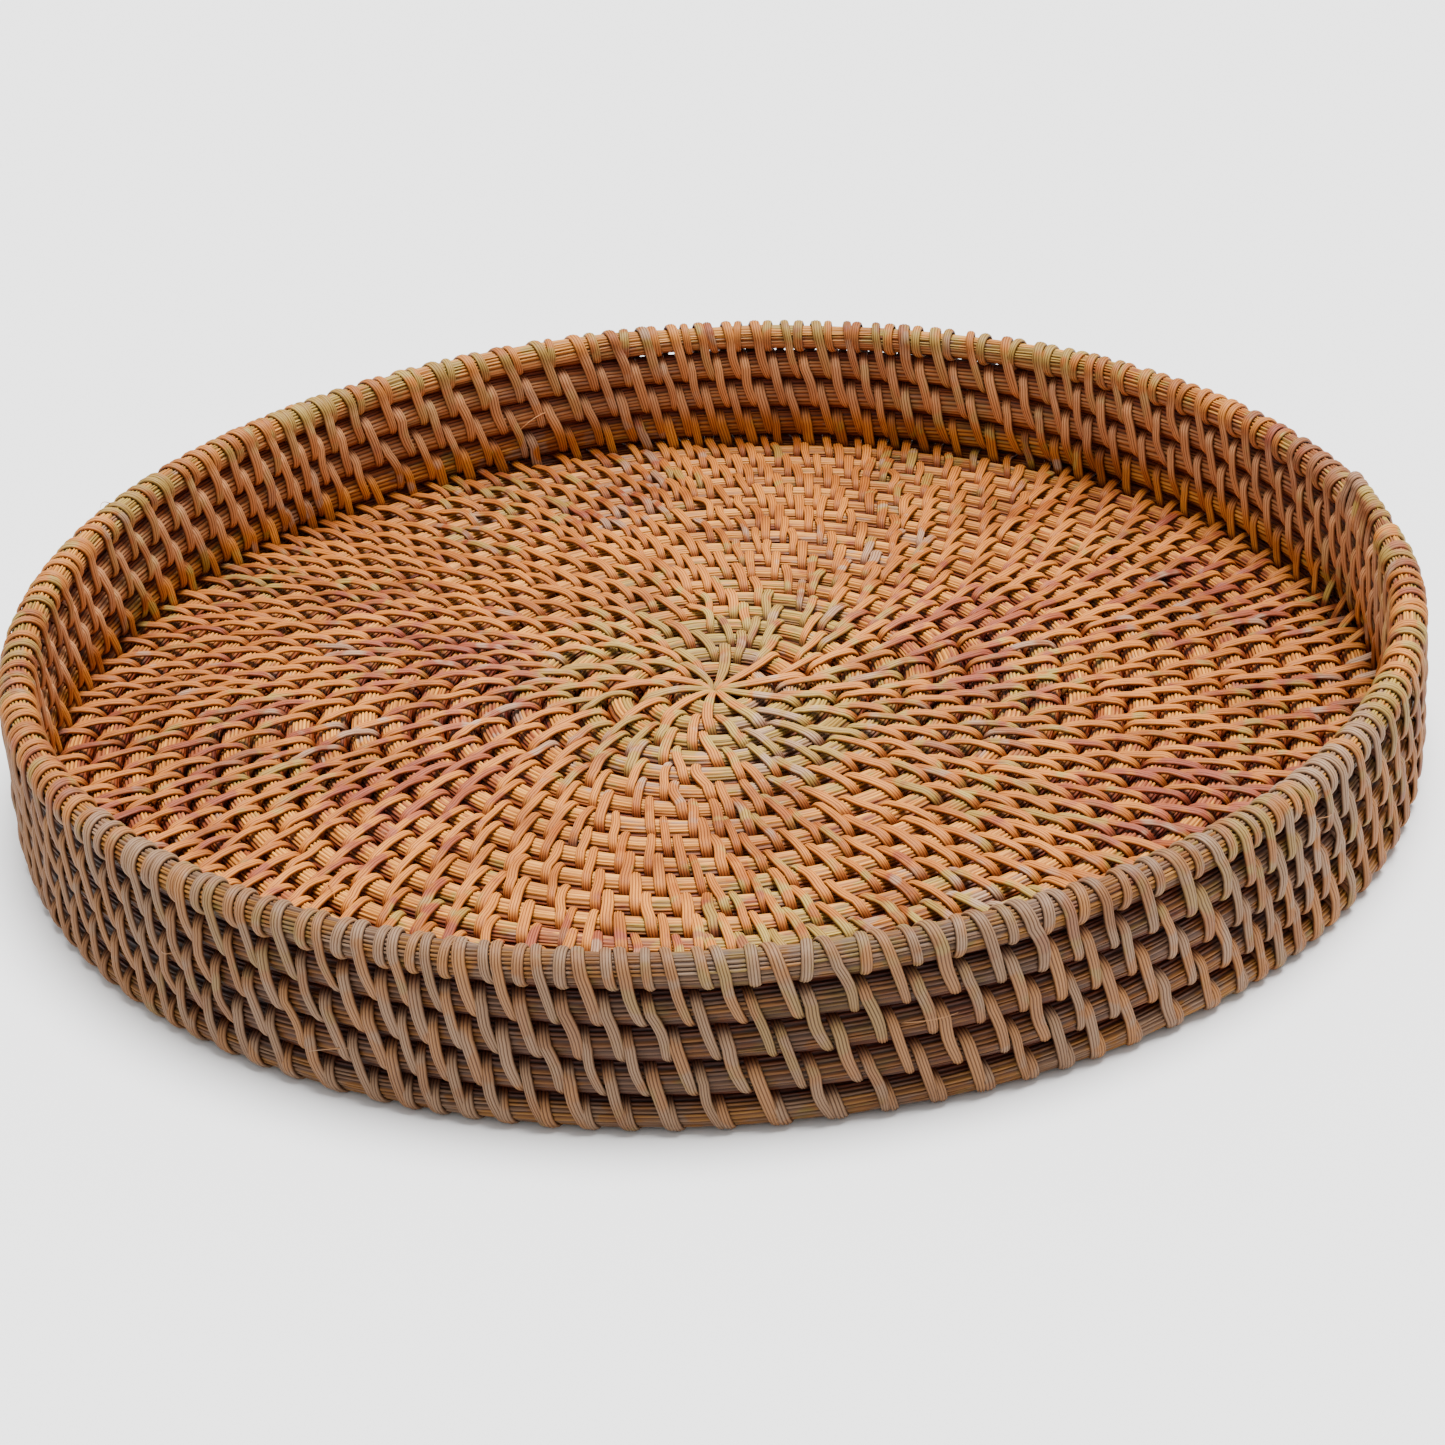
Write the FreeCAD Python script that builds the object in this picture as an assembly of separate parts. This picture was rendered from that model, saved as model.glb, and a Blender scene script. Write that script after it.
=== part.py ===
"""Round coiled tray of rattan, used for winnowing.

One bundle of fine rattan (the coil) spirals anticlockwise outwards as a domed floor and then climbs
on itself as an upright wall. A flat peeled strip (the stitches) binds each turn of the coil to the
turn before it. Millimetres, +Z up, origin on the table under the middle of the tray.
A place along the coil is a number of turns: its whole part counts turns, its fraction is azimuth.
"""
import FreeCAD, Part
import math
import os

# Driving dimensions
outer_radius = 160.0
floor_pitch = 7.3
wall_pitch = 8.0
coil_radius = 3.3
strip_width = 2.1
strip_thickness = 0.5
strip_clearance = 0.05
stitch_spacing = 7.8
dome_height = 6.0

# Turns of the coil
start_turn = 0.3
floor_turns = 21
wall_turns = 4
step_azimuth = -3.0
step_angle = 25.0
star_strips = 10
tail_end_radius = 1.2
tail_share = 0.6

# Derived sizes
step_part = step_angle / 360
rim_start = floor_turns + wall_turns - 1
tail_start = floor_turns + wall_turns
end_turn = tail_start + tail_share * step_part
wall_radius = outer_radius - coil_radius - strip_clearance - strip_thickness
inmost_radius = wall_radius - floor_turns * floor_pitch
lowest_centre = coil_radius + strip_clearance + strip_thickness
floor_edge_radius = wall_radius - 2 * floor_pitch
last_added_stitch = floor_turns - 2

# How finely the centre line is cut into arcs, as parts of one turn
step_cuts = [step_part * i / 4 for i in range(5)]
centre_line_cuts = step_cuts + [0.15, 0.29, 0.43, 0.57, 0.71, 0.85]
small_turn = 0.0002

# Fine adjustments of the stitches
last_stitch_margin = 0.002
joint_gap_degrees = 6.0
foot_share = 0.5
corner_foot_share = 0.32
corner_strip_width = 1.3
step_slack = 0.25


def step(part):
    """Smooth climb from 0 to 1 over the short stretch where the coil steps out or up."""
    x = min(part / step_part, 1.0)
    return x * x * (3 - 2 * x)


def profile(turn):
    """Radius and height of the coil's centre line."""
    part = turn - math.floor(turn)
    if turn <= floor_turns:
        evenness = turn / floor_turns
        level = turn + evenness * (step(part) - part) if turn < floor_turns else turn
        radius = inmost_radius + floor_pitch * level
        inside = min(radius / floor_edge_radius, 1.0)
        return radius, lowest_centre + dome_height * (1 - inside ** 2)
    below_radius, below_height = profile(turn - 1)
    if turn < floor_turns + 1:
        lean = math.pi / 2 * step(part)
        pitch = floor_pitch + (wall_pitch - floor_pitch) * math.sin(lean)
        return below_radius + pitch * math.cos(lean), below_height + pitch * math.sin(lean)
    pitch = wall_pitch - coil_radius + radius_at(turn)
    radius = (below_radius + wall_radius) / 2
    return radius, below_height + math.sqrt(pitch ** 2 - (radius - below_radius) ** 2)


def radius_at(turn):
    """Radius of the coil's round section, which thins out along the tail."""
    if turn <= tail_start:
        return coil_radius
    return coil_radius + (tail_end_radius - coil_radius) * step((turn - tail_start) / tail_share)


def place(turn):
    """Point of the coil's centre line."""
    radius, height = profile(turn)
    azimuth = math.radians(step_azimuth) + 2 * math.pi * turn
    return FreeCAD.Vector(radius * math.cos(azimuth), radius * math.sin(azimuth), height)


def direction(turn):
    """Unit vector along the coil, anticlockwise."""
    back = max(turn - small_turn, start_turn)
    ahead = min(turn + small_turn, end_turn)
    return (place(ahead) - place(back)).normalize()


def arc_from(start, along, end):
    """Arc that leaves a point along a direction and ends at another point."""
    chord = end - start
    side = chord - along * chord.dot(along)
    if side.Length < 1e-7 * chord.Length:
        return Part.LineSegment(start, end).toShape()
    side.normalize()
    radius = chord.dot(chord) / (2 * chord.dot(side))
    middle = start + side * radius
    outward = ((start - middle) + (end - middle)).normalize()
    return Part.Arc(start, middle + outward * radius, end).toShape()


def two_arcs(first, last):
    """Pair of tangent arcs that joins two places of the centre line."""
    start, end = place(first), place(last)
    leave, arrive = direction(first), direction(last)
    chord = end - start
    both = leave + arrive
    turnover = 2 * (1 - leave.dot(arrive))
    reach = math.sqrt(chord.dot(both) ** 2 + turnover * chord.dot(chord))
    reach = (reach - chord.dot(both)) / turnover
    joint = (start + leave * reach + end - arrive * reach) * 0.5
    joint_way = (end - arrive * reach - start - leave * reach).normalize()
    return [arc_from(start, leave, joint), arc_from(joint, joint_way, end)]


def coil_length(first, last):
    """One stretch of the coil with an even round section."""
    cuts = [math.floor(first) + whole + cut for whole in range(2) for cut in centre_line_cuts]
    turns = [first] + [turn for turn in cuts if first < turn < last] + [last]
    edges = []
    for here, there in zip(turns, turns[1:]):
        edges += two_arcs(here, there)
    section = Part.makeCircle(coil_radius, place(first), direction(first))
    return Part.Wire(edges).makePipe(Part.Face(Part.Wire([section])))


def coil_tail():
    """Last stretch of the coil, which tapers and lies down on the rim."""
    pieces = 6
    turns = [tail_start + (end_turn - tail_start) * i / pieces for i in range(pieces + 1)]
    sections = []
    for turn in turns:
        circle = Part.makeCircle(radius_at(turn), place(turn), direction(turn))
        sections.append(Part.Wire([circle]))
    return Part.makeLoft(sections, True, True)


def slack(turn):
    """Room between a strip and the coil, which is larger where the coil bends tightly."""
    bend_radius = min(profile(turn)[0], floor_edge_radius)
    room = strip_clearance + strip_width ** 2 / (8 * bend_radius)
    climbing = turn > floor_turns + step_part and turn - math.floor(turn) < step_part
    return room + step_slack if climbing else room


def on_corner(turn):
    """True on the turn where the floor bends up into the wall."""
    return floor_turns - 1 < turn < floor_turns + step_part


def width_at(turn):
    """Width of a strip, pinched where it goes through the tray's eye and round the corner turn."""
    if on_corner(turn):
        return corner_strip_width
    leg_radius = profile(turn)[0] - radius_at(turn) - slack(turn) - strip_thickness
    return min(strip_width, 0.5 * leg_radius)


def strip_section(turn, outward):
    """Cross-section of the strip where it lies on the coil at one place."""
    low = place(turn) + outward * (radius_at(turn) + slack(turn))
    high = low + outward * strip_thickness
    half = direction(turn) * (width_at(turn) / 2)
    return Part.makePolygon([low - half, low + half, high + half, high - half, low - half])


def inner_and_outer(lower, upper):
    """Directions from the coil to the strip at two places, on the inner and on the outer face."""
    across = place(upper) - place(lower)
    difference = radius_at(lower) + slack(lower) - radius_at(upper) - slack(upper)
    tilt = math.asin(difference / across.Length)
    inner = []
    outer = []
    for turn in (lower, upper):
        along = direction(turn)
        up = (across - along * across.dot(along)).normalize()
        normal = up.cross(along)
        inner.append(normal * math.cos(tilt) + up * math.sin(tilt))
        outer.append(normal * -math.cos(tilt) + up * math.sin(tilt))
    return inner, outer


def turn_round(turn, first, last):
    """Angle from one direction to another about the coil, in degrees."""
    angle = math.atan2(direction(turn).dot(first.cross(last)), first.dot(last))
    return math.degrees(angle) % 360


def bar_faces(first, last):
    """Skin of a straight length of strip, flat wherever the corners of a face lie in one plane."""
    faces = []
    for face in Part.makeLoft([first, last], False, True).Faces:
        if face.findPlane() is not None:
            corners = [vertex.Point for vertex in face.OuterWire.OrderedVertexes]
            face = Part.Face(Part.makePolygon(corners + corners[:1]))
        faces.append(face)
    return faces


def stitch(foot, top, next_foot, next_top):
    """One stitch: up the inner face, over the new turn, down the outer face, round the old turn."""
    foot_in, top_in = inner_and_outer(foot, top)[0]
    next_out, top_out = inner_and_outer(next_foot, top)[1]
    next_in = inner_and_outer(next_foot, next_top)[0][0]
    sections = [strip_section(foot, foot_in), strip_section(top, top_in),
                strip_section(top, top_out), strip_section(next_foot, next_out)]
    over_angle = turn_round(top, top_in, top_out)
    under_angle = turn_round(next_foot, next_out, next_in) - joint_gap_degrees
    over = sections[1].revolve(place(top), direction(top), over_angle)
    under = sections[3].revolve(place(next_foot), direction(next_foot), under_angle)
    inner_bar = bar_faces(sections[0], sections[1])
    outer_bar = bar_faces(sections[2], sections[3])
    start_cap = Part.Face(sections[0])
    end_cap = Part.Face(sections[3])
    end_cap.rotate(place(next_foot), direction(next_foot), under_angle)
    faces = [start_cap] + inner_bar + over.Faces + outer_bar + under.Faces + [end_cap]
    return closed_solid(faces)


def closed_solid(faces):
    """Solid inside a closed set of faces."""
    skin = Part.Compound(faces)
    skin.sewShape()
    solid = Part.Solid(skin.Shells[0])
    if solid.Volume < 0:
        solid.reverse()
    return solid


def feet_along_coil():
    """Places on the coil where the stitches go down into it, each between two older stitches."""
    feet = [start_turn + i / star_strips for i in range(star_strips + 1)]
    shortage = 0.0
    oldest = 0
    while feet[-1] < end_turn - 1:
        before = (feet[oldest] + feet[oldest + 1]) / 2 + 1
        after = (feet[oldest + 1] + feet[oldest + 2]) / 2 + 1
        gap = (after - before) * 2 * math.pi * profile(before)[0]
        shortage += gap / stitch_spacing - 1
        if shortage > 0.5 and gap > stitch_spacing and feet[-1] < last_added_stitch:
            feet += [before + (after - before) / 3, before + (after - before) * 2 / 3]
            shortage -= 1
        else:
            share = corner_foot_share if on_corner(before) else foot_share
            feet.append(before + (after - before) * share)
        oldest += 1
    return feet


def stitch_places(feet):
    """Foot and top of every stitch, and of the stitch after it, in order along the coil."""
    tops = [(foot + next_foot) / 2 + 1 for foot, next_foot in zip(feet, feet[1:])]
    places = zip(feet, tops, feet[1:], tops[1:])
    return [four for four in places if four[3] < end_turn - last_stitch_margin]


def short_wrap(turn):
    """Ring of strip round the rim alone."""
    outward = FreeCAD.Vector(0, 0, 1)
    along = direction(turn)
    outward = (outward - along * outward.dot(along)).normalize()
    return Part.Face(strip_section(turn, outward)).revolve(place(turn), along, 360)


def node_of(top):
    """Name of the node that holds a stitch, from the turn that it binds on."""
    if top < start_turn + 2:
        return "centre_star"
    if top <= floor_turns:
        return "floor_stitches_%02d" % math.floor(top)
    if top > tail_start:
        return "tail_stitches"
    if top > rim_start:
        return "rim_stitches"
    return "wall_stitches_%d" % (math.floor(top) - floor_turns + 1)


def save(name, shape):
    """Write one node."""
    shape.exportStep("parts/%s.step" % name)
    print(name, len(shape.Solids), "solids", round(shape.Volume, 1), "mm3", shape.isValid())


def save_coil():
    """Write the coil, one node for each turn."""
    save("start_coil", coil_length(start_turn, 1))
    for turn in range(1, floor_turns):
        save("floor_coil_%02d" % turn, coil_length(turn, turn + 1))
    for turn in range(wall_turns - 1):
        save("wall_coil_%d" % (turn + 1), coil_length(floor_turns + turn, floor_turns + turn + 1))
    save("rim_coil", coil_length(rim_start, tail_start))
    save("coil_tail", coil_tail())


def save_stitches():
    """Write the stitches of each turn, and the short wraps between them on the rim."""
    places = stitch_places(feet_along_coil())
    groups = {}
    for four in places:
        groups.setdefault(node_of(four[1]), []).append(stitch(*four))
    for name, stitches in groups.items():
        save(name, Part.Compound(stitches))
    tops = [four[1] for four in places if four[1] > rim_start + step_part]
    wraps = [short_wrap((here + there) / 2) for here, there in zip(tops, tops[1:])]
    save("rim_wraps", Part.Compound(wraps))


os.makedirs("parts", exist_ok=True)
save_coil()
save_stitches()
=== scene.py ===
"""Looks of the coiled rattan winnowing basket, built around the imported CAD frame.

Shapes are worked out in millimetres in the frame's axes and turned into metres when a mesh is made.
A place along the coil is a number of turns: its whole part counts turns, its fraction is azimuth.
"""
import math

import bpy
import numpy as np
from mathutils import Matrix, Vector


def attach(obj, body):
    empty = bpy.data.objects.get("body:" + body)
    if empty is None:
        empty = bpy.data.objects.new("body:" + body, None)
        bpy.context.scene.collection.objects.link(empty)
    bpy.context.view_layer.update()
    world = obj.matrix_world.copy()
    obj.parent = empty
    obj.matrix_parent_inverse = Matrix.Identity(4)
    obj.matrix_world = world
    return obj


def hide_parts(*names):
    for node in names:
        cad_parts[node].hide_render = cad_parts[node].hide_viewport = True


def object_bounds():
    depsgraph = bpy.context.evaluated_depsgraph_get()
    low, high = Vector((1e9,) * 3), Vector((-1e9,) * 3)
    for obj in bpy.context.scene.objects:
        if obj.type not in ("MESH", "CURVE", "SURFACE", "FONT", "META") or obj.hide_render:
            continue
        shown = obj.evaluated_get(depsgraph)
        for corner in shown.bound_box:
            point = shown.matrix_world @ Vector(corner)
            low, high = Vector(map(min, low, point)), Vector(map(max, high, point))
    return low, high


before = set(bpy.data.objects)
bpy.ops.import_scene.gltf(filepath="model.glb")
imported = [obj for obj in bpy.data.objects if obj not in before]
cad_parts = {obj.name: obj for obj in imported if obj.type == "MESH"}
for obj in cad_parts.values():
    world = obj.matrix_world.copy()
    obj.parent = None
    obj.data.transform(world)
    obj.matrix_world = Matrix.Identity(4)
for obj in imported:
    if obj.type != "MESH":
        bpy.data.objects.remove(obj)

cad_box = [list(corner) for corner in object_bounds()]
MM = 0.001

# Driving dimensions of the basket, millimetres
outer_radius = 160.0
floor_pitch = 7.3
wall_pitch = 8.0
coil_radius = 3.3
strip_thickness = 0.5
strip_clearance = 0.05
strip_width = 2.5
stitch_spacing = 7.8
dome_height = 6.0
start_turn = 0.3
floor_turns = 21
wall_turns = 4
step_azimuth = math.radians(-3.0)
step_part = 25.0 / 360
star_strips = 10
tail_end_radius = 1.2
tail_share = 0.6

rim_start = floor_turns + wall_turns - 1
tail_start = floor_turns + wall_turns
end_turn = tail_start + tail_share * step_part
wall_radius = outer_radius - coil_radius - strip_clearance - strip_thickness
inmost_radius = wall_radius - floor_turns * floor_pitch
lowest_centre = coil_radius + strip_clearance + strip_thickness
floor_edge_radius = wall_radius - 2 * floor_pitch
last_added_stitch = floor_turns - 2

random = np.random.default_rng(20)


# ---------------------------------------------------------------- the coil's centre line

def step(part):
    """Smooth climb from 0 to 1 over the short stretch where the coil steps out or up."""
    x = np.clip(part / step_part, 0, 1)
    return x * x * (3 - 2 * x)


def centre_line():
    """Table of turn, radius and height of the coil's centre line."""
    per_turn = 720
    turns = np.arange(0, int(end_turn * per_turn) + 2) / per_turn
    parts = turns - np.floor(turns)
    level = turns + turns / floor_turns * (step(parts) - parts)
    level[turns >= floor_turns] = floor_turns
    radius = inmost_radius + floor_pitch * level
    height = lowest_centre + dome_height * (1 - np.minimum(radius / floor_edge_radius, 1) ** 2)
    for i in range(floor_turns * per_turn + 1, len(turns)):
        below_radius, below_height = radius[i - per_turn], height[i - per_turn]
        if turns[i] < floor_turns + 1:
            lean = math.pi / 2 * step(parts[i])
            pitch = floor_pitch + (wall_pitch - floor_pitch) * math.sin(lean)
            radius[i] = below_radius + pitch * math.cos(lean)
            height[i] = below_height + pitch * math.sin(lean)
        else:
            pitch = wall_pitch - coil_radius + tail_radius(turns[i])
            radius[i] = (below_radius + wall_radius) / 2
            height[i] = below_height + math.sqrt(pitch ** 2 - (radius[i] - below_radius) ** 2)
    return turns, radius, height


def tail_radius(turn):
    """Radius of the coil, which thins out along the tail."""
    shrink = (coil_radius - tail_end_radius) * step(np.maximum(turn - tail_start, 0) / tail_share)
    return coil_radius - shrink


line_turns, line_radius, line_height = centre_line()
rim_height = np.interp(tail_start - 0.5, line_turns, line_height)


def place(turn):
    """Points of the centre line at an array of turns."""
    radius = np.interp(turn, line_turns, line_radius)
    height = np.interp(turn, line_turns, line_height)
    azimuth = step_azimuth + 2 * math.pi * turn
    wobble = 0.12 * np.sin(azimuth * 3.1 + 2 * np.floor(turn)) + 0.1 * np.sin(azimuth * 7.3)
    radius = radius + wobble * np.clip((tail_start - turn) / 2, 0, 1)
    return np.stack([radius * np.cos(azimuth), radius * np.sin(azimuth), height], -1)


def unit(vectors):
    """Vectors scaled to length 1."""
    return vectors / np.linalg.norm(vectors, axis=-1, keepdims=True)


def dot(a, b):
    """Row-by-row scalar product, kept as a column."""
    return (a * b).sum(-1, keepdims=True)


def along(turn):
    """Unit vectors along the coil, anticlockwise."""
    small = 0.0007
    return unit(place(turn + small) - place(turn - small))


# ---------------------------------------------------------------- meshes

def grid_faces(rows, columns):
    """Quads of a tube: rows of points, each row closed on itself."""
    row = np.arange(rows - 1)[:, None] * columns
    here = np.arange(columns)[None, :]
    there = (here + 1) % columns
    quads = np.stack([row + here, row + there, row + columns + there, row + columns + here], -1)
    return quads.reshape(-1, 4)


def joined_faces(tubes):
    """Corners of the faces of closed tubes that share one mesh, and where each face starts among them."""
    corners = []
    starts = []
    vertex = 0
    corner = 0
    for tube in tubes:
        rows, columns = tube[0].shape[:2]
        quads = grid_faces(rows, columns)
        caps = [np.arange(columns)[::-1], (rows - 1) * columns + np.arange(columns)]
        corners += [quads.ravel() + vertex, np.concatenate(caps) + vertex]
        starts += [corner + np.arange(len(quads)) * 4, corner + len(quads) * 4 + np.arange(2) * columns]
        vertex += rows * columns
        corner += len(quads) * 4 + 2 * columns
    return np.concatenate(corners).astype(np.int32), np.concatenate(starts).astype(np.int32)


def wear_and_shade_at(points):
    """How worn and shaded each point is, as weathering mixed with painted shade, how grey it is, and how
    much it belongs to the inside of the wall.
    """
    rightward = points[:, 0] / outer_radius
    frontward = -points[:, 1] / outer_radius
    height = points[:, 2]
    outside = smooth(np.hypot(points[:, 0], points[:, 1]), wall_radius - 1, wall_radius + 1.5)
    on_top = smooth(height, rim_height - 2, rim_height + 2)
    to_front = smooth(frontward, 0.3, 0.8)
    # Weathering mixed with painted shade on the outside of the wall and on the rim's top, strongest at the
    # front; painted light weakens it towards the right
    worn_and_shaded_outside = outside * (1 - on_top * (0.6 - 0.4 * to_front))
    worn_and_shaded_rim = (0.25 + 0.75 * to_front) * on_top
    worn_and_shaded = np.maximum(worn_and_shaded_outside, worn_and_shaded_rim) * (1 - 0.28 * smooth(rightward, 0.2, 0.8))
    greying = np.maximum(on_top, outside) * to_front
    greying = greying + (1 - greying) * 1.2 * smooth(frontward, 0.5, 0.8)
    # Upper inside of the wall, which the material lightens with painted light
    inner = smooth(height, 12, 20) * (1 - outside) * (1 - on_top)
    return np.stack([worn_and_shaded, greying, inner], -1)


def mesh_piece(name, tubes, material):
    """One mesh of closed tubes; each is a grid of points with grain, luck and painted shade masks, and
    zone at each point.
    """
    grids = [np.concatenate([grid.reshape(-1, 3) for grid in same]) for same in zip(*tubes)]
    points, grain, luck_and_shade, zone = grids
    corners, starts = joined_faces(tubes)
    mesh = bpy.data.meshes.new(name)
    mesh.vertices.add(len(points))
    mesh.vertices.foreach_set("co", (points * MM).astype(np.float32).ravel())
    mesh.loops.add(len(corners))
    mesh.loops.foreach_set("vertex_index", corners)
    mesh.polygons.add(len(starts))
    mesh.polygons.foreach_set("loop_start", starts)
    mesh.update(calc_edges=True)
    mesh.validate()
    mesh.shade_smooth()
    fields = {"grain": grain, "luck_and_shade": luck_and_shade, "zone": zone, "outside": wear_and_shade_at(points)}
    for label, values in fields.items():
        layer = mesh.attributes.new(label, "FLOAT_VECTOR", "POINT")
        layer.data.foreach_set("vector", values.astype(np.float32).ravel())
    mesh.materials.append(material)
    piece = bpy.data.objects.new(name, mesh)
    bpy.context.scene.collection.objects.link(piece)
    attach(piece, "root")
    return piece


def smooth(value, low, high):
    """Smooth climb from 0 at low to 1 at high."""
    x = np.clip((value - low) / (high - low), 0, 1)
    return x * x * (3 - 2 * x)


def spread(value, grid):
    """A value, or one for each row, repeated over a whole grid of points."""
    return np.broadcast_to(value, grid.shape)


def corner_shade(turn, points):
    """How much painted shade darkens the outer turns of the floor, most of all at the two sides."""
    radius = np.hypot(points[..., 0], points[..., 1])
    toward = (0.8 * np.abs(points[..., 0]) + 0.6 * points[..., 1]) / np.maximum(radius, 1)
    return 0.36 * (turn < floor_turns) * smooth(radius, 75, 150) * smooth(toward, 0.1, 0.9)


def zones_at(turn, points):
    """How green, pink and orange the rattan tends to be at each place."""
    radius = np.hypot(points[..., 0], points[..., 1])
    rightward = points[..., 0] / np.maximum(radius, 1)
    backward = points[..., 1] / np.maximum(radius, 1)
    on_floor = turn < floor_turns - 1
    front = smooth(-points[..., 1] / outer_radius, 0.45, 0.75)
    green = 1 - smooth(radius, 25, 60) + 0.7 * smooth(turn, rim_start - 0.5, rim_start)
    green = green + 1.2 * on_floor * front
    pink = on_floor * (smooth(np.abs(rightward), 0.6, 0.95) + 1.2 * front) * smooth(radius, 30, 60)
    pink = pink + smooth(turn, rim_start - 0.3, rim_start) * smooth(rightward, 0.85, 0.97)
    onto_corner = smooth(turn, floor_turns - 1.8, floor_turns - 0.8)
    corner = onto_corner * (1 - smooth(turn, floor_turns, floor_turns + 0.6))
    orange = corner * smooth(backward, 0.5, 0.9)
    return np.stack([green, pink, orange], -1)


# ---------------------------------------------------------------- the bundle

# The strands show as ridges, and the four points of a ridge are its groove, side, crown and side
ridges = 22
ridge_shape = np.array([-1.0, -0.25, 0.0, -0.25])
ridge_points = len(ridge_shape)
ridge_depth = 0.5
ridge_inset = 0.1
ring_step = 3.5
fewest_rings = 12
rim_flattening = 0.6

# Wandering of the strands: steady twist in radians for a millimetre, then sizes and wavelengths
twist_rate = 0.012
twist_wander = 0.25
twist_waves = (160, 60)
strand_jitter = 0.24
strand_wander = 0.2
strand_waves = (90, 25)
swelling = 0.06
swelling_waves = (40, 15)
waves_in_signal = 4

# The tail ends in a rounded tip, and this is its length in turns
tip_length = 0.0022
tip_rings = np.array([0.5, 0.85, 1])

# Middle, half width and edge of the stretch at the back where the rim stands a little apart from the
# turn below it, in turns, and how much flatter those two turns are there
gap_turn = rim_start + 0.222
gap_full = 0.04
gap_edge = 0.07
flatter_below = 0.3
flatter_rim = 0.7

# Half width and half height of the bundle along the coil: it gets narrower and taller up the wall
bundle_knots = [start_turn, floor_turns - 1.2, floor_turns - 0.9, floor_turns - 0.1,
                floor_turns + 0.15, rim_start - 0.1, rim_start + 0.15, tail_start]
bundle_sideways = [3.62, 3.62, 3.45, 3.45, 3.25, 3.2, 3.2, 3.2]
bundle_upright = [3.3, 3.3, 3.6, 3.6, 4.3, 4.15, 4.1, 4.1]


def waves(distance, count, longest, shortest):
    """Smooth random signals along the coil, one for each column."""
    total = np.zeros((len(distance), count))
    for _ in range(waves_in_signal):
        length = random.uniform(shortest, longest, count)
        phase = random.uniform(0, 2 * math.pi, count)
        total += np.sin(distance[:, None] * 2 * math.pi / length + phase)
    return total / waves_in_signal


def ring_turns(first, last):
    """Places of the rings of points along a stretch of the coil, with a few more on the tail's tip."""
    middle = np.interp((first + last) / 2, line_turns, line_radius)
    rings = max(int((last - first) * 2 * math.pi * middle / ring_step), fewest_rings)
    turns = np.linspace(first, last, rings + 1)
    if last == end_turn:
        turns = np.concatenate([turns, last + tip_length * tip_rings])
    return turns


def bundle_size(turns, angles):
    """Half width and half height of the bundle, for each ring and for each point of a ring."""
    rounding = np.sqrt(np.clip(1 - np.maximum(turns - end_turn, 0) / tip_length, 0.04, 1))
    share = (rounding * tail_radius(turns) / coil_radius)[:, None]
    sideways = np.interp(turns, bundle_knots, bundle_sideways)[:, None] * share
    upright = np.interp(turns, bundle_knots, bundle_upright)[:, None] * share
    from_gap = np.abs(np.where(turns < rim_start, turns + 1, turns) - gap_turn)
    flatter = np.where(turns < rim_start, flatter_below, flatter_rim)
    upright = upright - ((1 - smooth(from_gap, gap_full, gap_edge)) * flatter)[:, None]
    above = smooth(turns, rim_start - 0.05, rim_start)[:, None] * smooth(np.sin(angles), -0.3, 0.6)
    return sideways, upright - rim_flattening * above * share


def bundle_painted_shade(turns, centres, points):
    """Painted shade on each point of the bundle: most in the hollows between two turns, more all over the
    wall below the rim, and more on the outer turns of the floor.
    """
    later, earlier = neighbour_ways(turns)
    ways = unit(points - centres[:, None])
    below_rim = (turns < rim_start)[:, None]
    toward_later = (ways * later[:, None]).sum(-1) * below_rim
    toward_earlier = (ways * earlier[:, None]).sum(-1)
    painted_shade = smooth(np.maximum(toward_later, toward_earlier), 0.45, 0.98)
    on_wall = smooth(turns, floor_turns, floor_turns + 0.3)[:, None] * below_rim
    # Painted shade over all of the wall's bundle below the rim
    painted_shade = painted_shade + (1 - painted_shade) * on_wall * 0.42
    return painted_shade + (1 - painted_shade) * corner_shade(turns[:, None], points)


def bundle(name, first, last, material):
    """Stretch of the coil: a bundle of fine strands, each a rounded ridge on the outside."""
    turns = ring_turns(first, last)
    centres = place(turns)
    forward = along(turns)
    outward = unit(np.cross(forward, [0, 0, 1.0]))
    upward = np.cross(outward, forward)
    distance = np.concatenate([[0], np.cumsum(np.linalg.norm(np.diff(centres, axis=0), axis=1))])
    across = np.arange(ridges * ridge_points) / ridge_points
    jitter = np.repeat(random.uniform(-strand_jitter, strand_jitter, ridges), ridge_points)
    twist = twist_rate * distance + twist_wander * waves(distance, 1, *twist_waves)[:, 0]
    angles = ((across + jitter) * 2 * math.pi / ridges)[None, :] + twist[:, None]
    heights = np.tile(ridge_shape, ridges)[None, :] * ridge_depth
    lift = np.repeat(waves(distance, ridges, *strand_waves), ridge_points, axis=1) * strand_wander
    swell = swelling * waves(distance, 1, *swelling_waves)
    sideways, upright = bundle_size(turns, angles)
    side = (sideways + heights + lift + swell - ridge_inset) * np.cos(angles)
    high = (upright + heights + lift + swell - ridge_inset) * np.sin(angles)
    points = centres[:, None] + side[..., None] * outward[:, None] + high[..., None] * upward[:, None]
    grain = np.stack([spread(across, side), spread(distance[:, None] / 10, side), spread(first, side)], -1)
    luck = spread(np.repeat(random.random(ridges), ridge_points), side)
    # Painted shade in the grooves between the strands
    groove_shade_mask = spread(-np.tile(ridge_shape, ridges), side)
    luck_and_shade = np.stack([luck, groove_shade_mask, bundle_painted_shade(turns, centres, points)], -1)
    return mesh_piece(name, [(points, grain, luck_and_shade, zones_at(turns[:, None], points))], material)


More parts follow.
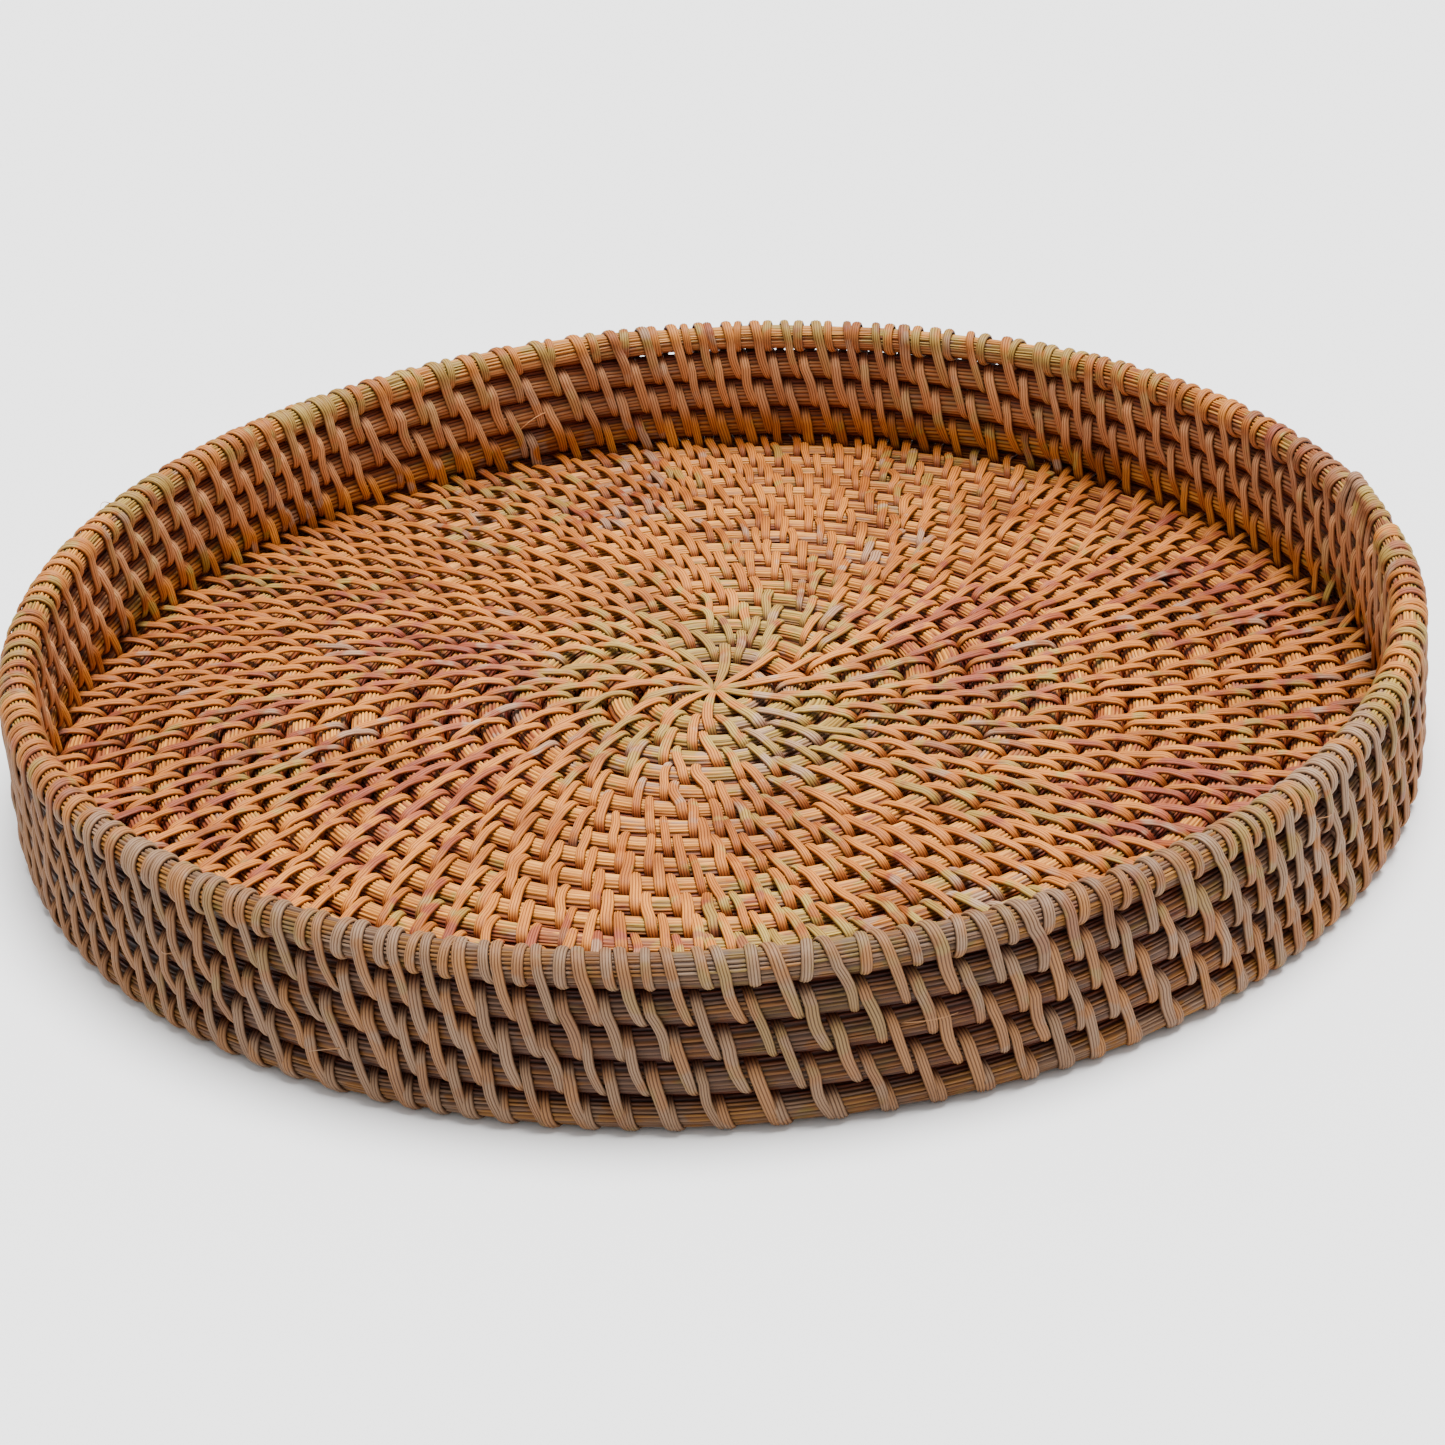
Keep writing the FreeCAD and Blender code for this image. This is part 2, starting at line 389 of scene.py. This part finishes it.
def neighbour_ways(turn):
    """Directions from the coil to the turn after it and to the turn before it."""
    here = place(turn)
    later = unit(place(np.minimum(turn + 1, end_turn)) - here + 1e-9)
    earlier = unit(place(np.maximum(turn - 1, start_turn)) - here + 1e-9)
    return later, earlier


# ---------------------------------------------------------------- the strip

def feet_along_coil():
    """Places on the coil under which the strip comes up to start each stitch."""
    feet = [start_turn + i / star_strips for i in range(star_strips + 1)]
    shortage = 0.0
    oldest = 0
    while feet[-1] < end_turn - 1:
        here = (feet[oldest] + feet[oldest + 1]) / 2 + 1
        after = (feet[oldest + 1] + feet[oldest + 2]) / 2 + 1
        gap = (after - here) * 2 * math.pi * np.interp(here, line_turns, line_radius)
        shortage += gap / stitch_spacing - 1
        feet.append(here)
        if shortage > 0.5 and gap > stitch_spacing and here < last_added_stitch:
            feet.append((here + after) / 2)
            shortage -= 1
        oldest += 1
    return np.array(feet)


# One stitch is a lap round two turns: quarter ring, bar, half ring, bar, quarter ring
quarter_samples = 5
bar_samples = 4


def lap():
    """Samples of one lap: how far along it, on which of the two turns, and the angle to the face."""
    ring = coil_radius + strip_thickness / 2
    quarter = np.linspace(-90, 0, quarter_samples, endpoint=False)
    bar = np.linspace(0, 1, bar_samples, endpoint=False)
    half = np.linspace(0, 180, 2 * quarter_samples, endpoint=False)
    last = np.linspace(180, 270, quarter_samples, endpoint=False)
    angle = np.concatenate([quarter, 0 * bar, half, 0 * bar + 180, last])
    side = np.concatenate([0 * quarter, bar, 0 * half + 1, 1 - bar, 0 * last])
    turned = np.abs(np.diff(np.append(angle, 270))) * math.pi / 180 * ring
    moved = np.abs(np.diff(np.append(side, 0))) * wall_pitch
    length = np.concatenate([[0], np.cumsum(turned + moved)])
    return length[:-1] / length[-1], side, np.radians(angle), length[-1]


lap_share, lap_side, lap_angle, lap_length = lap()
# Climbs from 0 at the two ends of a lap to 1 at its middle
lap_window = np.sin(math.pi * lap_share) ** 2

# Section of the strip: rounded face with fine grooves, flat at the back; the grooves and the edges also
# get painted shade
across_share = np.array([-1, -0.88, -0.66, -0.5, -0.34, -0.15, 0, 0.15, 0.34, 0.5, 0.66, 0.88, 1])
back_edge = 0.93
section_across = np.concatenate([across_share, [back_edge, -back_edge]])
groove_pattern = np.array([1, 0.3, 0, 1, 0, 0, 1, 0, 0, 1, 0, 0.3, 1])
# The same pattern, full on the two back points, sets the painted shade in the grooves and along the
# strip's edges
section_groove_shade = np.concatenate([groove_pattern, [1, 1]])
face_middle = len(across_share) // 2
strip_crown = 0.5
crown_power = 2.5
face_sink = 0.1
edge_drop = 0.22
# The strip is pressed flat where it stands on the ground
lowest_strip = -0.15

# What chance changes from stitch to stitch and from wrap to wrap; leans of wraps are parts of a turn
stitch_lean = 0.19
stitch_bow = (0.0, 0.65)
stitch_slack = (0, 0.12)
stitch_width = (0.8, 1.15)
stitch_groove = (0.08, 0.24)
wrap_lean = (-0.0006, 0.0012)
wrap_width = (0.8, 1.05)
wrap_groove = (0.06, 0.2)
wrap_place = (0.5, 0.72)
wrap_samples = 22
wrap_clearance = 0.02

# Parts of a turn at the end of the tail: without short wraps, and with grey ones
bare_end = 0.02
grey_end = 0.006

# How much the strip narrows where it tucks under a turn, and broadens on the corner of the floor
tuck_narrowing = 0.22
corner_broadening = 0.08

# The strips of the star start on a small ring round the middle, where they are narrowest, and
# reach their full width further out
eye_ring = 3.3
eye_depth = 0.4
eye_width = 0.62
star_width = 1.1
star_widening = 16


def strip_face(groove_depth):
    """Heights of the face points above the back of the strip, for each row of the strip."""
    crown = strip_crown * (1 - np.abs(across_share) ** crown_power)
    face = strip_thickness - face_sink + crown - groove_depth * groove_pattern
    face[:, [0, -1]] -= edge_drop
    return np.concatenate([face, 0 * face[:, :2]], 1)


def ribbon_path(turn, top, in_star):
    """Middle line of the laps, the coil's centres that they go round, and the way outwards."""
    low, high = place(turn), place(top)
    if in_star:
        low = eye_places(turn)
    way = along(turn)
    across = high - low
    across = unit(across - dot(across, way) * way)
    normal = np.cross(across, way)
    thick_low = tail_radius(turn) + strip_clearance
    thick_high = tail_radius(top) + strip_clearance
    radius = thick_low + (thick_high - thick_low) * lap_side
    bow = random.uniform(*stitch_bow, (len(turn), 1)) * np.sin(math.pi * lap_side)
    radius = radius + bow + random.uniform(*stitch_slack, (len(turn), 1)) * lap_window
    out = np.cos(lap_angle)[..., None] * normal + np.sin(lap_angle)[..., None] * across
    centre = low + (high - low) * lap_side[:, None]
    return centre + out * radius[..., None], centre, out


def ribbon_width(top, centre, in_star):
    """Width of the strip along the laps, as a column: narrower where it tucks under a turn."""
    luck = random.uniform(*stitch_width, (len(top), 1))
    width = strip_width * luck * (1 + corner_broadening * smooth(top, floor_turns - 1, floor_turns))
    if in_star:
        growth = eye_width + np.hypot(centre[..., 0], centre[..., 1]) / star_widening
        width = width * np.clip(growth, eye_width, star_width)
    return (width * (1 - tuck_narrowing * (1 - lap_window) ** 3)).reshape(-1, 1)


def ribbon_painted_shade(turn, top, centre, points):
    """Painted shade on each point of the laps: most where they go down into the hollows between two turns,
    and more on the outer turns of the floor.
    """
    way_out = unit(points[:, face_middle].reshape(centre.shape) - centre)
    to_later = dot(way_out, neighbour_ways(top)[0])[..., 0] * (lap_side > 0.5) * (top < rim_start)
    to_earlier = dot(way_out, neighbour_ways(turn)[1])[..., 0] * (lap_side < 0.5)
    painted_shade = smooth(np.maximum(to_later, to_earlier), 0.5, 1.0).reshape(-1, 1)
    return painted_shade + (1 - painted_shade) * corner_shade(top.reshape(-1, 1), points)


def ribbon(feet, in_star):
    """Continuous stretch of the binding strip, one lap for each pair of feet."""
    count = len(feet) - 1
    samples = len(lap_share)
    foot, next_foot = feet[:-1, None], feet[1:, None]
    turn = foot + (next_foot - foot) * lap_share
    top = np.minimum(turn + 1, end_turn)
    lean = random.normal(0, stitch_lean, (count, 1)) * np.sin(2 * math.pi * lap_share)
    turn = turn + lean * (next_foot - foot) * lap_window
    path, centre, out = ribbon_path(turn, top, in_star)
    path, out = path.reshape(-1, 3), out.reshape(-1, 3)
    ahead = unit(np.gradient(path, axis=0))
    sideways = unit(np.cross(ahead, out))
    out = np.cross(sideways, ahead)
    offset = section_across * ribbon_width(top, centre, in_star) / 2
    height = strip_face(np.repeat(random.uniform(*stitch_groove, count), samples)[:, None])
    points = path[:, None] + offset[..., None] * sideways[:, None] + height[..., None] * out[:, None]
    points[..., 2] = np.maximum(points[..., 2], lowest_strip)
    distance = (np.repeat(np.arange(count), samples) + np.tile(lap_share, count))[:, None] * lap_length
    grain = np.stack([offset, spread(distance / 10, offset), spread(feet[0], offset)], -1)
    luck = np.repeat(random.random(count) + tail_luck(top[:, 0]), samples)[:, None]
    painted_shade = ribbon_painted_shade(turn, top, centre, points)
    luck_and_shade = np.stack([spread(luck, offset), spread(section_groove_shade, offset), painted_shade], -1)
    return points, grain, luck_and_shade, zones_at(top.reshape(-1, 1), points)


def tail_luck(top):
    """Raises the random number of the grey wraps that hold the end of the tail."""
    return 1.0 * (top > end_turn - grey_end)


def eye_places(turn):
    """Places near the middle that all the strips of the star start from."""
    azimuth = step_azimuth + 2 * math.pi * turn
    height = np.interp(turn, line_turns, line_height) - eye_depth
    return np.stack([eye_ring * np.cos(azimuth), eye_ring * np.sin(azimuth), height], -1)


def rim_wrap(centre):
    """One short wrap round the rim alone, at a place along the coil."""
    angle = np.linspace(-0.5 * math.pi, 1.5 * math.pi, wrap_samples)
    turn = centre + random.uniform(*wrap_lean) * (angle - math.pi / 2) / math.pi * 2
    middle, way = place(turn), along(turn)
    upright = np.array([0, 0, 1.0])
    across = unit(upright - dot(upright, way) * way)
    out = np.cos(angle)[:, None] * np.cross(across, way) + np.sin(angle)[:, None] * across
    path = middle + out * (tail_radius(turn)[:, None] + wrap_clearance)
    sideways = unit(np.cross(unit(np.gradient(path, axis=0)), out))
    width = strip_width * random.uniform(*wrap_width)
    offset = np.tile(section_across * width / 2, (wrap_samples, 1))
    height = strip_face(np.full((wrap_samples, 1), random.uniform(*wrap_groove)))
    points = path[:, None] + offset[..., None] * sideways[:, None] + height[..., None] * out[:, None]
    distance = np.arange(wrap_samples)[:, None] / 8
    grain = np.stack([offset, spread(distance, offset), spread(centre, offset)], -1)
    luck = random.random()
    luck_and_shade = np.stack([spread(luck, offset), spread(section_groove_shade, offset), 0 * offset], -1)
    return points, grain, luck_and_shade, zones_at(centre, points)


def rim_wraps(feet):
    """Short wraps round the rim alone, one between each two stitches."""
    tops = (feet[:-1] + feet[1:]) / 2 + 1
    tops = tops[(tops > end_turn - 1) & (tops < end_turn - bare_end)]
    shares = random.uniform(*wrap_place, len(tops) - 1)
    return [rim_wrap(centre) for centre in tops[:-1] + (tops[1:] - tops[:-1]) * shares]


def stray_fibre(turn, angle, length):
    """Thin split fibre that stands a little off the coil: a place, an angle round it and a length."""
    samples = 12
    sides = 5
    fibre_radius = 0.13
    greatest_lift = 2.2
    here, way = place(np.array([turn]))[0], along(np.array([turn]))[0]
    outward = unit(np.cross(way, [0, 0, 1.0]))
    off = math.cos(angle) * outward + math.sin(angle) * np.array([0, 0, 1.0])
    side = np.cross(off, way)
    share = np.linspace(0, 1, samples)[:, None]
    curl = random.uniform(-0.5, 0.5) * length
    lift = coil_radius + greatest_lift * np.sin(math.pi * share * 0.75)
    path = here + off * lift + way * length * share + side * curl * share ** 2
    ahead = unit(np.gradient(path, axis=0))
    first = unit(np.cross(ahead, off))
    second = np.cross(ahead, first)
    around = (np.arange(sides) * 2 * math.pi / sides)[None, :, None]
    thick = (fibre_radius * (1 - 0.6 * share))[..., None]
    points = path[:, None] + thick * (np.cos(around) * first[:, None] + np.sin(around) * second[:, None])
    plain = np.zeros(points.shape[:2])
    grain = np.stack([plain, plain + share * length / 10, plain + turn], -1)
    luck_and_shade = np.stack([plain + 0.3, plain, plain], -1)
    return points, grain, luck_and_shade, np.stack([plain, plain, plain], -1)


# ---------------------------------------------------------------- materials

def new_material(name):
    """Empty node material with its shader and its node tree."""
    material = bpy.data.materials.new(name)
    material.use_nodes = True
    tree = material.node_tree
    return material, tree, tree.nodes["Principled BSDF"]


def node(tree, kind, **settings):
    """New node with some of its settings."""
    made = tree.nodes.new(kind)
    for key, value in settings.items():
        setattr(made, key, value)
    return made


def feed(tree, socket, value):
    """Gives a socket a value, or a link when the value is another node's output."""
    if isinstance(value, bpy.types.NodeSocket):
        tree.links.new(value, socket)
    else:
        socket.default_value = value


def mixed(tree, factor, first, second, blend="MIX"):
    """Mix of two colours; each of the three is a socket or a value."""
    mix = node(tree, "ShaderNodeMix", data_type="RGBA", blend_type=blend)
    feed(tree, mix.inputs[0], factor)
    feed(tree, mix.inputs[6], first)
    feed(tree, mix.inputs[7], second)
    return mix.outputs[2]


def noise(tree, vector, scale, detail=2.0):
    """Noise value at a vector."""
    made = node(tree, "ShaderNodeTexNoise")
    made.inputs["Scale"].default_value = scale
    made.inputs["Detail"].default_value = detail
    tree.links.new(vector, made.inputs["Vector"])
    return made.outputs["Fac"]


def mapped(tree, value, low, high):
    """Value stretched so that low becomes 0 and high becomes 1."""
    made = node(tree, "ShaderNodeMapRange")
    made.inputs["From Min"].default_value = low
    made.inputs["From Max"].default_value = high
    tree.links.new(value, made.inputs["Value"])
    return made.outputs["Result"]


def calculated(tree, operation, first, second):
    """Arithmetic on two sockets or values."""
    made = node(tree, "ShaderNodeMath", operation=operation)
    feed(tree, made.inputs[0], first)
    feed(tree, made.inputs[1], second)
    return made.outputs[0]


def plus_share(tree, value, other, share):
    """A value plus a share of another one."""
    return calculated(tree, "ADD", value, calculated(tree, "MULTIPLY", other, share))


def covered(tree, colour, mask, share, cover, blend="MIX"):
    """A colour covered by another one, as much as a share of the mask."""
    return mixed(tree, calculated(tree, "MULTIPLY", mask, share), colour, cover, blend)


def attribute_parts(tree, label):
    """The vector of a mesh attribute, and its three parts."""
    vector = node(tree, "ShaderNodeAttribute", attribute_name=label).outputs["Vector"]
    parts = node(tree, "ShaderNodeSeparateXYZ")
    tree.links.new(vector, parts.inputs[0])
    return vector, parts.outputs


def scaled(tree, vector, factors, shift=(0, 0, 0)):
    """Vector stretched by one factor for each axis, then shifted."""
    made = node(tree, "ShaderNodeVectorMath", operation="MULTIPLY_ADD")
    made.inputs[1].default_value = factors
    made.inputs[2].default_value = shift
    tree.links.new(vector, made.inputs[0])
    return made.outputs[0]


def tinted(tree, colour, where, luck, zone):
    """Colour with a patch of each tint over it, where noise, luck and the tint's zone add up."""
    for i, (tint, favoured, scale, limit, strength) in enumerate(tints):
        spot = scaled(tree, where, (1, 1, 1), (i, 2.0 * i, 0.5 * i))
        patch = calculated(tree, "ADD", noise(tree, spot, scale), noise(tree, spot, fleck_scale, 1.0))
        patch = plus_share(tree, patch, luck, luck_share)
        patch = plus_share(tree, patch, zone[favoured], zone_share)
        colour = covered(tree, colour, mapped(tree, patch, limit, limit + patch_edge), strength, tint)
    return colour


def rattan(name, tan, pale, brown, weathered_and_shaded, lines):
    """Dry rattan: tan with streaks along the fibre, patches of other tints, weathering mixed with painted
    shade, painted light on the upper inside of the wall, and painted shade in the grooves and hollows.
    """
    material, tree, shader = new_material(name)
    grain = attribute_parts(tree, "grain")[0]
    # Luck, then the painted shade in grooves and in hollows
    luck, groove_shade_mask, painted_shade = attribute_parts(tree, "luck_and_shade")[1]
    # Weathering with painted shade, grey tint, and where painted light brightens the upper inside
    worn_and_shaded, greying, inner = attribute_parts(tree, "outside")[1]
    green, pink, orange = attribute_parts(tree, "zone")[1]
    where = node(tree, "ShaderNodeTexCoord").outputs["Object"]
    streak = noise(tree, scaled(tree, grain, (lines, 0.6, 7.0)), 2.2, 4.0)
    blotch = noise(tree, where, 55.0)
    colour = mixed(tree, mapped(tree, streak, 0.35, 0.62), tan, pale)
    colour = mixed(tree, mapped(tree, blotch, 0.45, 0.75), colour, brown)
    colour = tinted(tree, colour, where, luck, (green, pink, orange, greying))
    shade = mapped(tree, plus_share(tree, streak, luck, 0.4), 0.5, 0.95)
    colour = covered(tree, colour, shade, dull_share, dull, "MULTIPLY")
    # Painted light: the upper inside of the wall is lighter and less orange
    colour = covered(tree, colour, inner, painted_inner_light_share, painted_inner_light)
    # Weathering mixed with painted shade on the outside of the wall and on the rim
    colour = covered(tree, colour, worn_and_shaded, worn_and_shaded_share, weathered_and_shaded)
    # Painted shade in the grooves and along the strips' edges
    colour = covered(tree, colour, groove_shade_mask, groove_share, groove_shade, "MULTIPLY")
    # Painted shade in the hollows between turns, on the wall and on the outer turns of the floor
    colour = covered(tree, colour, painted_shade, gap_share, gap_shade, "MULTIPLY")
    tree.links.new(colour, shader.inputs["Base Color"])
    shader.inputs["Roughness"].default_value = rattan_roughness
    shader.inputs["Specular IOR Level"].default_value = rattan_gloss
    bump = node(tree, "ShaderNodeBump")
    bump.inputs["Strength"].default_value = fibre_bump
    bump.inputs["Distance"].default_value = fibre_height
    tree.links.new(streak, bump.inputs["Height"])
    tree.links.new(bump.outputs[0], shader.inputs["Normal"])
    return material


rattan_roughness = 0.5
rattan_gloss = 0.2
fibre_bump = 0.6
fibre_height = 0.0004

# A patch of a tint shows where coarse noise, fine flecks, the strand's luck and its zone pass a limit
fleck_scale = 160.0
luck_share = 0.3
zone_share = 0.27
patch_edge = 0.1

# Tint, the zone that favours it (green, pink, orange or greying), scale of its noise, limit, strength
tints = [((0.50, 0.37, 0.08, 1), 0, 22.0, 1.33, 0.85),
         ((0.34, 0.07, 0.06, 1), 1, 17.0, 1.41, 0.68),
         ((0.52, 0.15, 0.015, 1), 2, 30.0, 1.40, 0.8),
         ((0.56, 0.38, 0.26, 1), 3, 26.0, 1.40, 0.85)]

# Colours that cover the rattan, each with the share of it that shows at most: a dull tone at random,
# painted light on the upper inside of the wall, weathering mixed with painted shade, and painted shade in
# the grooves and hollows
dull = (0.56, 0.40, 0.28, 1)
dull_share = 0.8
painted_inner_light = (0.88, 0.50, 0.27, 1)
painted_inner_light_share = 0.45
worn_and_shaded_share = 0.78
groove_shade = (0.15, 0.06, 0.03, 1)
groove_share = 0.9
gap_shade = (0.22, 0.05, 0.025, 1)
gap_share = 0.95

strip_material = rattan(
    "rattan_strip",
    tan=(0.50, 0.16, 0.02, 1),
    pale=(0.84, 0.315, 0.045, 1),
    brown=(0.32, 0.088, 0.012, 1),
    weathered_and_shaded=(0.19, 0.112, 0.06, 1),
    lines=3.0,
)
bundle_material = rattan(
    "rattan_bundle",
    tan=(0.66, 0.25, 0.035, 1),
    pale=(0.96, 0.45, 0.085, 1),
    brown=(0.40, 0.135, 0.018, 1),
    weathered_and_shaded=(0.062, 0.028, 0.012, 1),
    lines=1.3,
)


# ---------------------------------------------------------------- pieces

def build_bundle():
    """One piece of the bundle for each coil node."""
    stretches = [("start_coil", start_turn, 1)]
    stretches += [("floor_coil_%02d" % turn, turn, turn + 1) for turn in range(1, floor_turns)]
    stretches += [("wall_coil_%d" % i, floor_turns + i - 1, floor_turns + i) for i in range(1, wall_turns)]
    stretches += [("rim_coil", rim_start, tail_start), ("coil_tail", tail_start, end_turn)]
    for name, first, last in stretches:
        piece = bundle("bundle_" + name, first, last, bundle_material)
        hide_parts(name)


def row_of(top):
    """Name of the CAD node that a stitch with this top belongs to."""
    if top < start_turn + 2:
        return "centre_star"
    if top <= floor_turns:
        return "floor_stitches_%02d" % math.floor(top)
    if top > tail_start:
        return "tail_stitches"
    if top > rim_start:
        return "rim_stitches"
    return "wall_stitches_%d" % (math.floor(top) - floor_turns + 1)


# Loose fibres: the row they belong to, the place along the coil, the angle round it, the length
stray_fibres = [("wall_stitches_2", 22.79, 0.3, 11.0), ("wall_stitches_2", 22.63, 0.1, 8.0),
                ("wall_stitches_1", 21.68, 0.2, -9.0), ("wall_stitches_3", 23.58, 0.5, 7.0),
                ("wall_stitches_3", 23.90, 0.4, -8.0), ("wall_stitches_2", 22.30, 2.8, 9.0),
                ("rim_stitches", 24.44, 1.2, 6.0), ("rim_stitches", 24.71, 1.4, -7.0),
                ("floor_stitches_14", 14.62, 1.4, 8.0), ("floor_stitches_18", 18.86, 1.7, -9.0)]


def strip_feet():
    """Feet of all the stitches, with the wraps at the end of the tail set close together."""
    feet = feet_along_coil()
    close = 0.0033
    close_feet = 6
    first_close = end_turn - 1 - (close_feet - 1.5) * close
    return np.concatenate([feet[feet < first_close - close], first_close + close * np.arange(close_feet)])


def strip_tubes(name, names, feet):
    """Tubes of one row: its laps in one ribbon, then its loose fibres."""
    rows = [i for i, other in enumerate(names) if other == name]
    tubes = [ribbon(feet[rows[0]:rows[-1] + 2], name == "centre_star")]
    for row, turn, angle, length in stray_fibres:
        if row == name:
            tubes.append(stray_fibre(turn, angle, length))
    return tubes


def build_strip():
    """One piece of the strip for each row of stitches, and one for the short wraps."""
    feet = strip_feet()
    names = [row_of(top) for top in (feet[:-1] + feet[1:]) / 2 + 1]
    for name in dict.fromkeys(names):
        piece = mesh_piece("strip_" + name, strip_tubes(name, names, feet), strip_material)
        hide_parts(name)
    piece = mesh_piece("strip_rim_wraps", rim_wraps(feet), strip_material)
    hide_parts("rim_wraps")


build_bundle()
build_strip()


# ---------------------------------------------------------------- floor, light and camera

# Metres here; the camera's distance and aim are shares of the basket's radius, its angles radians
floor_half = 6.0
floor_drop = 0.0002
floor_colour = (0.84, 0.84, 0.84, 1)
sky_strength = 0.8
sun_strength = 9.4
sun_spread = math.radians(35)
sun_from = (0.12, 0.12, 1.0)
camera_distance = 5.203
camera_elevation = 0.4993
camera_roll = -0.0606
camera_aim = (0.0074, 0, 0.0247)
camera_lens = 89.4
camera_sensor = 36.0


def build_floor():
    """Plain pale floor under the basket."""
    mesh = bpy.data.meshes.new("floor")
    corners = [(x * floor_half, y * floor_half, 0) for x, y in ((-1, -1), (1, -1), (1, 1), (-1, 1))]
    mesh.from_pydata(corners, [], [(0, 1, 2, 3)])
    floor = bpy.data.objects.new("floor", mesh)
    floor.location.z = cad_box[0][2] - floor_drop
    bpy.context.scene.collection.objects.link(floor)
    material, _, shader = new_material("pale_floor")
    shader.inputs["Base Color"].default_value = floor_colour
    shader.inputs["Roughness"].default_value = 0.9
    mesh.materials.append(material)


def build_light():
    """Soft light from above, a little from behind and the right."""
    world = bpy.data.worlds.new("studio")
    bpy.context.scene.world = world
    world.use_nodes = True
    background = world.node_tree.nodes["Background"]
    background.inputs["Color"].default_value = (1, 1, 1, 1)
    background.inputs["Strength"].default_value = sky_strength
    data = bpy.data.lights.new("key", "SUN")
    data.energy = sun_strength
    data.angle = sun_spread
    light = bpy.data.objects.new("key", data)
    light.rotation_euler = Vector(sun_from).to_track_quat("Z", "Y").to_euler()
    bpy.context.scene.collection.objects.link(light)


def build_camera():
    """Camera in front of the basket and above it, turned a little round its own axis."""
    radius = outer_radius * MM
    distance = camera_distance * radius
    back = distance * math.cos(camera_elevation)
    spot = Vector((0, -back, distance * math.sin(camera_elevation)))
    forward = (Vector(camera_aim) * radius - spot).normalized()
    right = forward.cross(Vector((0, 0, 1))).normalized()
    up = right.cross(forward)
    rolled_right = math.cos(camera_roll) * right + math.sin(camera_roll) * up
    rolled_up = math.cos(camera_roll) * up - math.sin(camera_roll) * right
    data = bpy.data.cameras.new("camera")
    data.sensor_width = camera_sensor
    data.lens = camera_lens
    camera = bpy.data.objects.new("camera", data)
    turned = Matrix((rolled_right, rolled_up, -forward)).transposed().to_4x4()
    camera.matrix_world = Matrix.Translation(spot) @ turned
    bpy.context.scene.collection.objects.link(camera)
    bpy.context.scene.camera = camera


build_floor()
build_light()
build_camera()
